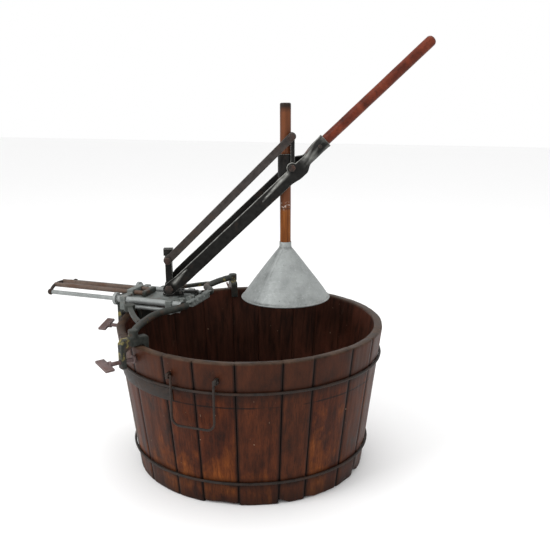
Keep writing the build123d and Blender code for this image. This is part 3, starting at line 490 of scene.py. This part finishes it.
def cast(node, material):
    """The CAD node's shape as a rough casting: edges and joints blended, the skin slightly uneven."""
    mesh = frame["nodes"][node].data.copy()
    mesh.name = node + "_cast"
    piece = make_piece(node + "_cast", mesh, material, node)
    remesh = piece.modifiers.new("remesh", "REMESH")
    remesh.mode = "VOXEL"
    remesh.voxel_size = CAST_VOXEL
    blend = piece.modifiers.new("blend", "SMOOTH")
    blend.factor = 0.5
    blend.iterations = CAST_SMOOTHING
    mesh = apply_modifiers(piece)
    seed = Vector((len(node), 0, 0))
    places = [vertex.co.copy() for vertex in mesh.vertices]
    normals = [normal.vector.copy() for normal in mesh.vertex_normals]
    for vertex, place, normal in zip(mesh.vertices, places, normals):
        spot = place * CAST_GRIT_SCALE + seed
        grit = noise.noise(spot) + 0.5 * noise.noise(spot * 2.7)
        vertex.co = place + normal * (CAST_ROUGHNESS * (grit - 0.25))
    shade(mesh)


def ring_mesh(name, rings):
    """A closed mesh from rings of points, with a flat face at each end."""
    count = len(rings[0])
    points = [p for ring in rings for p in ring]
    faces = []
    for row in range(len(rings) - 1):
        for k in range(count):
            after = (k + 1) % count
            low, high = row * count, (row + 1) * count
            faces.append((low + k, low + after, high + after, high + k))
    faces.append(tuple(reversed(range(count))))
    faces.append(tuple((len(rings) - 1) * count + k for k in range(count)))
    mesh = bpy.data.meshes.new(name)
    mesh.from_pydata(points, [], faces)
    shade(mesh, 50)
    return mesh


# ---- staves ----
OUTER_STEPS = 15
INNER_STEPS = 9
SEAM = 0.0006
SEAM_DIRT_REACH = 0.0016
END_ROUND_HEIGHT = 0.0030
END_ROUND_DEPTH = 0.0022
EDGE_REACH = 0.0025
EDGE_DROP = 0.0016
INNER_EDGE_DROP = 0.0008
STAVE_FLATNESS = 0.30
CHIP_REACH = 0.028
CHIP_DEPTH = 0.030
CHIP_SHARE = 0.22
RIM_WEAR_REACH = 0.020


def stave_rows():
    """Heights of a stave's rings: close together at both ends, even between them."""
    low = [0.0, 0.0008, 0.0025, 0.006, 0.011, 0.018, 0.027]
    middle = [0.04 + (TUB_HEIGHT - 0.07) * k / 26 for k in range(27)]
    high = [TUB_HEIGHT - h for h in (0.022, 0.014, 0.008, 0.004, 0.0018, 0.0006, 0.0)]
    return low + middle + high


def stave_mesh(name, start, width, index):
    """One tapered stave: slightly flat outside, rounded long edges, worn ends and a wavy surface."""
    rings = []
    marks = {"seam": [], "inside": [], "rim": []}
    outline = [(k / OUTER_STEPS, 0) for k in range(OUTER_STEPS + 1)]
    outline += [(1.0, 0.25), (1.0, 0.75)]
    outline += [(1 - k / INNER_STEPS, 1) for k in range(INNER_STEPS + 1)]
    outline += [(0.0, 0.75), (0.0, 0.25)]
    for z in stave_rows():
        end = min(z, TUB_HEIGHT - z)
        rounding = max(0.0, 1 - end / END_ROUND_HEIGHT) ** 2 * END_ROUND_DEPTH
        ring = []
        for across, depth in outline:
            gap = 0.0 if 0 < depth < 1 else SEAM
            half = width / 2 - gap / outer_radius(z)
            angle = start + width / 2 + (2 * across - 1) * half
            edge = min(across, 1 - across) * width * outer_radius(z)
            radius = outer_radius(z) - depth * STAVE_THICKNESS
            if depth == 0:
                flat = cos(half) / cos((2 * across - 1) * half)
                radius *= 1 + STAVE_FLATNESS * (flat - 1)
                radius -= EDGE_DROP * max(0.0, 1 - edge / EDGE_REACH) ** 2
                grain = noise.noise((angle * 34, z * 3.0, index * 7.1))
                radius += 0.00045 * grain + 0.0004 * noise.noise((angle * 9, z * 9, index))
                radius -= rounding
            if depth == 1:
                radius += INNER_EDGE_DROP * max(0.0, 1 - edge / EDGE_REACH) + rounding
                radius += 0.0004 * noise.noise((angle * 30, z * 4.0, index * 3.3))
            height = z
            if z < CHIP_REACH:
                chip = max(0.0, noise.noise((angle * 5.5, index * 0.9, 2.0)) - CHIP_SHARE) * CHIP_DEPTH
                height += chip * (1 - z / CHIP_REACH) * (1.0 - 0.6 * depth)
            if z > TUB_HEIGHT - RIM_WEAR_REACH:
                height += 0.0011 * noise.noise((angle * 4, index * 1.7, 8.0)) - 0.0008
            ring.append((radius * cos(angle), radius * sin(angle), height))
            marks["seam"].append(1.0 if 0 < depth < 1 else max(0.0, 1 - edge / SEAM_DIRT_REACH))
            marks["inside"].append(1.0 if depth == 1 else max(0.0, depth - 0.3))
            marks["rim"].append(max(0.0, min(1.0, (z - TUB_HEIGHT + 0.0035) / 0.0025)))
        rings.append(ring)
    mesh = ring_mesh(name, rings)
    for key, values in marks.items():
        mark(mesh, key, values)
    return mesh


def middle_angle(node):
    """Where a stave is around the tub, and how wide, in radians, from the CAD node's vertices."""
    corners = [v.co for v in frame["nodes"][node].data.vertices]
    middle = sum((Vector((c.x, c.y, 0)) for c in corners), Vector())
    centre = atan2(middle.y, middle.x)
    turn = Matrix.Rotation(-centre, 3, "Z")
    angles = [atan2((turn @ c).y, (turn @ c).x) for c in corners]
    return centre + (max(angles) + min(angles)) / 2, max(angles) - min(angles)


# The staves on one side are greyed; the others take the warmer kinds in an uneven order.
GREY_SIDE = radians(-158)
GREY_REACH = radians(17)
GREY_KIND = len(STAVE_KINDS) - 1
for index, node in enumerate(STAVES):
    centre, width = middle_angle(node)
    away = abs((centre - GREY_SIDE + pi) % (2 * pi) - pi)
    kind = GREY_KIND if away < GREY_REACH else (index * 3 + index // 4) % GREY_KIND
    mesh = stave_mesh(node + "_worn", centre - width / 2, width, index)
    make_piece(node + "_worn", mesh, STAVE_KINDS[kind], node)

# ---- lever: a folded channel that rolls up into a socket ----
JOINTS = {j["name"]: j for j in frame["record"]["behaviour"]["joints"]}
PIVOT = Vector(JOINTS["lever_swing"]["pos_m"])
AXIS = Vector(JOINTS["lever_swing"]["axis"])
LEVER_ANGLE = radians(42.7)
LEVEL = Vector((-AXIS.y, AXIS.x, 0))
ALONG = cos(LEVER_ANGLE) * LEVEL + sin(LEVER_ANGLE) * Vector((0, 0, 1))
ACROSS = -sin(LEVER_ANGLE) * LEVEL + cos(LEVER_ANGLE) * Vector((0, 0, 1))
EYE = Vector(JOINTS["carriage_pivot"]["pos_m"]) - PIVOT
EYE_S = EYE.dot(ALONG)
EYE_T = EYE.dot(ACROSS)
# Distances along the lever end in _S; WALL_N is the walls' distance from its middle plane.
WALL_N = 0.02075
SHEET = 0.0034
HEEL_RADIUS = 0.014
HEEL_ROUND_LEAST = 0.0012
HEEL_DEPTH_GROWTH = 0.003
NEAR_WALL_TOP = 0.011
FAR_WALL_TOP = 0.020
EYE_LOBE_RADIUS = 0.012
FLOOR_START_S = 0.028
FLOOR_LIFT = 0.00175
SLOT_START_S = 0.275
SLOT_END_S = 0.394
BULGE_START_S = 0.375
BULGE_DEPTH = 0.0050
ROLL_START_S = 0.418
ROLL_LENGTH = 0.026
GAP_START_S = 0.43
GAP_LENGTH = 0.06
GAP_OPEN = 58
GAP_CLOSED = 12
SOCKET_END_S = 0.498
SOCKET_FLARE = 0.0008
SOCKET_MIDDLE_RADIUS = 0.0144
# The forged ribs on the near wall: start and end along the lever, height at the start and at the end.
RIBS = (
    (0.013, 0.064, 0.001, 0.0055),
    (EYE_S - 0.006, 0.300, EYE_T - 0.001, -0.001),
)
RIB_HALF_WIDTH = 0.0085
RIB_HEIGHT = 0.0021


def smooth_step(value):
    """0 up to 0, 1 from 1 on, and a smooth rise between."""
    value = max(0.0, min(1.0, value))
    return value * value * (3 - 2 * value)


def wall_limits(s, top):
    """Bottom and top of a channel wall at distance s from the lever's pivot."""
    if s < 0:
        half = max(HEEL_ROUND_LEAST, (HEEL_RADIUS**2 - s * s) ** 0.5 if s > -HEEL_RADIUS else 0.0)
        return -half, half
    low = -HEEL_RADIUS - HEEL_DEPTH_GROWTH * min(1.0, s / 0.030)
    high = HEEL_RADIUS + (top - HEEL_RADIUS) * smooth_step(s / 0.040)
    bulge = smooth_step((s - BULGE_START_S) / 0.03) * (1 - smooth_step((s - ROLL_START_S) / 0.03))
    low -= BULGE_DEPTH * bulge
    lobe = EYE_LOBE_RADIUS**2 - (s - EYE_S) ** 2
    if lobe > 0:
        high = max(high, EYE_T + lobe**0.5)
    return low, high


def dart(s, t):
    """Height of the two forged ribs on the near wall, 0 to 1, highest along their crests."""
    height = 0.0
    for start, end, t_start, t_end in RIBS:
        share = (s - start) / (end - start)
        if 0 < share < 1:
            middle = t_start + (t_end - t_start) * share
            half = RIB_HALF_WIDTH * (1 - share) + 0.0008
            height = max(height, (1 - abs(t - middle) / half) * min(1.0, share * 8))
    return height


def lever_mesh(name):
    """The sheet's middle surface: near wall, floor, far wall, then a rolled tube open on top."""
    lengths = [-HEEL_RADIUS + 0.0012 * k for k in range(6)] + [-0.006 + 0.003 * k for k in range(169)]
    lengths = [s for s in lengths if s <= SOCKET_END_S] + [SOCKET_END_S + 0.0005]
    wall_rows, floor_rows = 14, 8
    grid, edge_wear_and_highlight = [], []
    for s in lengths:
        near_low, near_high = wall_limits(s, NEAR_WALL_TOP)
        far_low, far_high = wall_limits(s, FAR_WALL_TOP)
        roll = smooth_step((s - ROLL_START_S) / ROLL_LENGTH)
        column = []
        for k in range(wall_rows + 1):
            column.append((WALL_N, near_high + (near_low - near_high) * k / wall_rows))
        for k in range(1, floor_rows):
            column.append((WALL_N - 2 * WALL_N * k / floor_rows, near_low + FLOOR_LIFT))
        for k in range(wall_rows + 1):
            column.append((-WALL_N, far_low + (far_high - far_low) * k / wall_rows))
        closing = smooth_step((s - GAP_START_S) / GAP_LENGTH)
        gap = radians(GAP_OPEN + (GAP_CLOSED - GAP_OPEN) * closing)
        flare = SOCKET_FLARE * smooth_step((s - SOCKET_END_S + 0.008) / 0.008)
        points = []
        for k, (n, t) in enumerate(column):
            theta = pi / 2 - gap - (2 * pi - 2 * gap) * k / (len(column) - 1)
            radius = SOCKET_MIDDLE_RADIUS + flare + 0.0003 * noise.noise((s * 60, theta, 1.0))
            rolled_n, rolled_t = radius * cos(theta), radius * sin(theta)
            crest = dart(s, t) if k <= wall_rows and roll == 0 else 0.0
            n += RIB_HEIGHT * crest + 0.0003 * noise.noise((s * 45, t * 90, n * 50))
            t += 0.0004 * noise.noise((s * 30, n * 60, 5.0))
            n += (rolled_n - n) * roll
            t += (rolled_t - t) * roll
            points.append(PIVOT + ALONG * s + AXIS * n + ACROSS * t)
            # The near wall's top lip, the rib crests and the rolled socket get painted highlights, partly
            # edge wear.
            lip = 0.9 if k == 0 and s > 0.03 else 0.0
            patchy = 0.45 + 1.6 * noise.noise((s * 26, k * 0.32, 3.0))
            edge_wear_and_highlight.append(max(0.0, min(1.0, max(lip, 0.95 * crest**2, 0.40 * roll * patchy))))
        grid.append(points)
    count = len(grid[0])
    faces = []
    for row in range(len(grid) - 1):
        middle = (lengths[row] + lengths[row + 1]) / 2
        for k in range(count - 1):
            on_floor = wall_rows <= k < count - 1 - wall_rows
            slot_row = wall_rows + 1 <= k < count - 2 - wall_rows
            in_slot = slot_row and SLOT_START_S < middle < SLOT_END_S
            if in_slot or (on_floor and middle < FLOOR_START_S):
                continue
            low, high = row * count, (row + 1) * count
            faces.append((low + k, low + k + 1, high + k + 1, high + k))
    mesh = bpy.data.meshes.new(name)
    mesh.from_pydata([p for points in grid for p in points], [], faces)
    mark(mesh, "edge_wear_and_highlight", edge_wear_and_highlight)
    return mesh


lever_piece = make_piece("lever_folded", lever_mesh("lever_folded"), LEVER_IRON, "lever_channel")
sheet = lever_piece.modifiers.new("sheet", "SOLIDIFY")
sheet.thickness = SHEET
sheet.offset = 0
rounding = lever_piece.modifiers.new("rounding", "BEVEL")
rounding.width = 0.0007
rounding.segments = 2
rounding.limit_method = "ANGLE"
rounding.angle_limit = radians(50)
shade(apply_modifiers(lever_piece), 42)

# ---- turned wood: the lever's handle and the plunger's stick ----
TURNED_SEGMENTS = 40
TURNED_WOBBLE = 0.00025


def turned_mesh(name, origin, direction, stations):
    """A turned piece: stations are (distance along, radius) from one end to the other."""
    direction = direction.normalized()
    side_one = direction.orthogonal().normalized()
    side_two = direction.cross(side_one)
    rings = []
    for distance, radius in stations:
        ring = []
        for k in range(TURNED_SEGMENTS):
            angle = 2 * pi * k / TURNED_SEGMENTS
            out = radius + TURNED_WOBBLE * noise.noise((distance * 25, cos(angle) * 1.5, sin(angle) * 1.5))
            spot = origin + direction * distance + (side_one * cos(angle) + side_two * sin(angle)) * out
            ring.append(spot)
        rings.append(ring)
    return ring_mesh(name, rings)


def dowel_stations(length, radius, end_round):
    """Stations of a straight dowel with rounded ends."""
    steps = 60
    ends = []
    for degree in range(0, 91, 15):
        along = end_round * (1 - cos(radians(degree)))
        ends.append((along, radius - end_round * (1 - sin(radians(degree)))))
    middle = [(end_round + (length - 2 * end_round) * k / steps, radius) for k in range(1, steps)]
    return ends + middle + [(length - d, r) for d, r in reversed(ends)]


HANDLE_RADIUS = 0.0122
HANDLE_START_S = 0.441
HANDLE_END_ROUND = 0.0100
STICK_END_ROUND = 0.0035
handle_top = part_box("lever_handle")[1].z
handle_length = (handle_top - PIVOT.z) / sin(LEVER_ANGLE) - HANDLE_START_S
handle_length -= HANDLE_RADIUS * cos(LEVER_ANGLE) / sin(LEVER_ANGLE) * 0.25
handle_mesh = turned_mesh(
    "handle_turned",
    PIVOT + ALONG * HANDLE_START_S,
    ALONG,
    dowel_stations(handle_length, HANDLE_RADIUS, HANDLE_END_ROUND),
)
make_piece("handle_turned", handle_mesh, HANDLE_WOOD, "lever_handle")

stick_low, stick_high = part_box("plunger_stick")
stick_centre = (stick_low + stick_high) / 2
STICK_RADIUS = (stick_high.x - stick_low.x) / 2
stick_mesh = turned_mesh(
    "stick_turned",
    Vector((stick_centre.x, stick_centre.y, stick_low.z)),
    Vector((0, 0, 1)),
    dowel_stations(stick_high.z - stick_low.z, STICK_RADIUS, STICK_END_ROUND),
)
make_piece("stick_turned", stick_mesh, STICK_WOOD, "plunger_stick")

# ---- bell: thin sheet, a rolled bead round the rim, a lapped seam and a collar ----
bell_low, bell_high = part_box("plunger_bell")
BELL_RADIUS = (bell_high.x - bell_low.x) / 2
bell_height = bell_high.z - bell_low.z
BELL_SEGMENTS = 128
BEAD = 0.0022
BEAD_STEPS = 9
COLLAR_RADIUS = 0.0140
COLLAR_HEIGHT = 0.0140
COLLAR_STEPS = 5
CONE_HEIGHT = bell_height - COLLAR_HEIGHT
CONE_STEPS = 29
INSIDE_STEPS = 15
SHEET_EDGE = 0.0006
LAP_WIDTH = 0.0055
LAP_HEIGHT = 0.0007
DENT = 0.0006
SEAM_ANGLE = radians(-110)


def bell_outline():
    """(radius, height) from inside the collar, over the outside, round the bead and up the inside."""
    outline = [
        (STICK_RADIUS + 0.0002, bell_height - SHEET_EDGE),
        (COLLAR_RADIUS - SHEET_EDGE, bell_height),
        (COLLAR_RADIUS, bell_height - SHEET_EDGE),
        (COLLAR_RADIUS, CONE_HEIGHT + 0.004),
        (COLLAR_RADIUS + SHEET_EDGE, CONE_HEIGHT + 0.0015),
    ]
    cone_top = COLLAR_RADIUS + 0.0010
    rim_radius = BELL_RADIUS - BEAD
    for k in range(CONE_STEPS):
        share = k / (CONE_STEPS - 1)
        bulge = 0.0016 * sin(pi * share) - 0.0010 * max(0.0, 1 - abs(share - 0.97) / 0.06)
        radius = cone_top + (rim_radius - cone_top) * share + bulge
        outline.append((radius, CONE_HEIGHT * (1 - share) + 2 * BEAD * share))
    for k in range(BEAD_STEPS):
        angle = pi / 2 - k * pi / 5.2
        outline.append((rim_radius + BEAD * cos(angle), BEAD + BEAD * sin(angle)))
    inside_low = rim_radius - BEAD
    inside_high = STICK_RADIUS + SHEET_EDGE
    for k in range(INSIDE_STEPS):
        share = k / (INSIDE_STEPS - 1)
        radius = inside_low + (inside_high - inside_low) * share
        outline.append((radius, 0.0030 + (CONE_HEIGHT - 0.0045) * share))
    return outline


def bell_mesh(name):
    """The bell, with dirt along its lapped seam and painted shade in its creases and inside."""
    outline = bell_outline()
    rim_index = COLLAR_STEPS + CONE_STEPS
    bead_end = rim_index + BEAD_STEPS
    creases = (COLLAR_STEPS - 1, COLLAR_STEPS, rim_index - 1, rim_index, bead_end - 2, bead_end - 1)
    centre = Vector((stick_centre.x, stick_centre.y, bell_low.z))
    rings, grime_and_shade = [], []
    for index, (radius, height) in enumerate(outline):
        ring = []
        outer = COLLAR_STEPS <= index < rim_index
        # Inside the bell and in its creases the sheet is darkened as painted shade.
        inside = 0.55 if index >= bead_end else 0.0
        crease_shade = 0.8 if index in creases else 0.0
        for k in range(BELL_SEGMENTS):
            angle = 2 * pi * k / BELL_SEGMENTS
            away = abs((angle - SEAM_ANGLE + pi) % (2 * pi) - pi) * radius
            out = radius
            if outer:
                out += LAP_HEIGHT * smooth_step(1 - away / LAP_WIDTH)
            if radius > COLLAR_RADIUS + 0.002:
                out += DENT * noise.noise((cos(angle) * 2.2, sin(angle) * 2.2, height * 22))
            ring.append(centre + Vector((out * cos(angle), out * sin(angle), height)))
            edge = smooth_step(1 - abs(away - 0.0058) / 0.0012) if outer else 0.0
            grime_and_shade.append(max(edge * 0.6, inside, crease_shade))
        rings.append(ring)
    points = [p for ring in rings for p in ring]
    faces = []
    for row in range(len(rings)):
        here = row * BELL_SEGMENTS
        below = (row + 1) % len(rings) * BELL_SEGMENTS
        for k in range(BELL_SEGMENTS):
            after = (k + 1) % BELL_SEGMENTS
            faces.append((here + after, here + k, below + k, below + after))
    mesh = bpy.data.meshes.new(name)
    mesh.from_pydata(points, [], faces)
    mark(mesh, "grime_and_shade", grime_and_shade)
    shade(mesh, 55)
    return mesh


make_piece("bell_sheet", bell_mesh("bell_sheet"), BELL_ZINC, "plunger_bell")

# ---- everything that keeps its CAD outline: node, material, width of the rounded edges ----
for node, material, width in (
    ("hoop_strap", HOOP_IRON, 0.0004),
    ("bail_eyes", HOOP_IRON, 0.0012),
    ("stay_tubes", GALVANISED, 0.0005),
    ("spring_tubes", GALVANISED, 0.0006),
    ("return_springs", SPRING_STEEL, 0.0003),
    ("clamp_pad_near", SCREW_IRON, 0.0008),
    ("clamp_pad_far", SCREW_IRON, 0.0008),
    ("clamp_pad_centre", SCREW_IRON, 0.0008),
    ("thumb_screw_near", SCREW_IRON, 0.0010),
    ("thumb_screw_far", SCREW_IRON, 0.0010),
    ("thumb_screw_centre", SCREW_IRON, 0.0010),
    ("spring_yoke", HOOP_IRON, 0.0005),
    ("guide_rods", GALVANISED, 0.0004),
    ("push_rods", RUSTY_ROD, 0.0006),
    ("crosshead", CAST_IRON, 0.0014),
    ("swivel_post", LEVER_IRON, 0.0014),
    ("post_bolts", BOLT_IRON, 0.0008),
    ("index_pawl", LEVER_IRON, 0.0010),
    ("handle_rivets", BOLT_IRON, 0.0010),
    ("upper_link", LINK_IRON, 0.0008),
    ("plunger_carriage", LEVER_IRON, 0.0014),
    ("carriage_bolts", BOLT_IRON, 0.0009),
    ("bottom_board_1", FLOOR_WOOD, 0.0010),
    ("bottom_board_2", FLOOR_WOOD, 0.0010),
    ("bottom_board_3", FLOOR_WOOD, 0.0010),
    ("bail_front", HOOP_IRON, 0.0003),
    ("bail_rear", HOOP_IRON, 0.0003),
):
    softened(node, material, width)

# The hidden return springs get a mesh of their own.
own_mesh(bpy.data.objects["return_springs_soft"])

# ---- rough castings ----
for node, material in (
    ("arm_near", ARM_IRON),
    ("arm_far", ARM_IRON),
    ("centre_hook", ARM_IRON),
    ("rim_stays", CAST_IRON),
    ("bracket_bed", BED_METAL),
):
    cast(node, material)

# ---- the two wire hoops, drawn tight round the staves, slightly uneven ----
hoop_low, hoop_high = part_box("hoop_lower")
WIRE_RADIUS = (hoop_high.z - hoop_low.z) / 2
HOOP_STEPS = 360
WIRE_STEPS = 14
LAP_STEP = 250
LAP_REACH = 9
HOOP_SWAY = 0.0008


def hoop_mesh(name, height, seed):
    """A ring of wire lying on the staves, its lapped joint at the back."""
    points, faces = [], []
    for k in range(HOOP_STEPS):
        angle = 2 * pi * k / HOOP_STEPS
        lap = smooth_step(1 - abs(k - LAP_STEP) / LAP_REACH)
        sway = HOOP_SWAY * noise.noise((cos(angle) * 3, sin(angle) * 3, seed))
        radius = outer_radius(height) + WIRE_RADIUS * (0.93 + 0.10 * lap)
        thick = WIRE_RADIUS * (0.95 + 0.04 * noise.noise((angle * 9, seed, 0)))
        for j in range(WIRE_STEPS):
            turn = 2 * pi * j / WIRE_STEPS
            out = radius + thick * cos(turn)
            points.append((out * cos(angle), out * sin(angle), height + sway * 0.6 + thick * sin(turn)))
    for k in range(HOOP_STEPS):
        here = k * WIRE_STEPS
        ahead = (k + 1) % HOOP_STEPS * WIRE_STEPS
        for j in range(WIRE_STEPS):
            beside = (j + 1) % WIRE_STEPS
            faces.append((here + j, ahead + j, ahead + beside, here + beside))
    mesh = bpy.data.meshes.new(name)
    mesh.from_pydata(points, [], faces)
    shade(mesh)
    return mesh


make_piece("hoop_upper_wire", hoop_mesh("hoop_upper_wire", UPPER_HOOP_Z, 1.0), HOOP_IRON, "hoop_upper")
make_piece("hoop_lower_wire", hoop_mesh("hoop_lower_wire", LOWER_HOOP_Z, 5.0), HOOP_IRON, "hoop_lower")

# ======================= floor and light =======================
FLOOR_REACH = 9
FLOOR_DROP = 0.0006
floor_corners = [(x * FLOOR_REACH, y * FLOOR_REACH, 0) for x, y in ((-1, -1), (1, -1), (1, 1), (-1, 1))]
floor_mesh = bpy.data.meshes.new("floor")
floor_mesh.from_pydata(floor_corners, [], [(0, 1, 2, 3)])
floor = bpy.data.objects.new("floor", floor_mesh)
scene.collection.objects.link(floor)
floor.location.z = -FLOOR_DROP
floor_paint = Paint("floor")
floor_mesh.materials.append(floor_paint.done((0.93, 0.93, 0.93), 0.9))

world = bpy.data.worlds.new("studio")
world.use_nodes = True
backdrop = world.node_tree.nodes["Background"]
backdrop.inputs["Color"].default_value = (1.0, 1.0, 1.0, 1)
backdrop.inputs["Strength"].default_value = 1.0
scene.world = world


LIGHT_SIZE = 1.8
LIT_POINT = Vector((0, 0, 0.3))


def area_light(name, position, power):
    """A square lamp at position, in watts, facing the middle of the tub."""
    data = bpy.data.lights.new(name, "AREA")
    data.size = LIGHT_SIZE
    data.energy = power
    light = bpy.data.objects.new(name, data)
    scene.collection.objects.link(light)
    light.location = position
    light.rotation_euler = (LIT_POINT - Vector(position)).to_track_quat("-Z", "Y").to_euler()


area_light("key", (-1.7, -2.4, 2.5), 62)
area_light("fill", (2.6, -1.6, 1.7), 5)
area_light("top", (0.2, 0.6, 3.0), 20)
scene.view_settings.view_transform = "Standard"
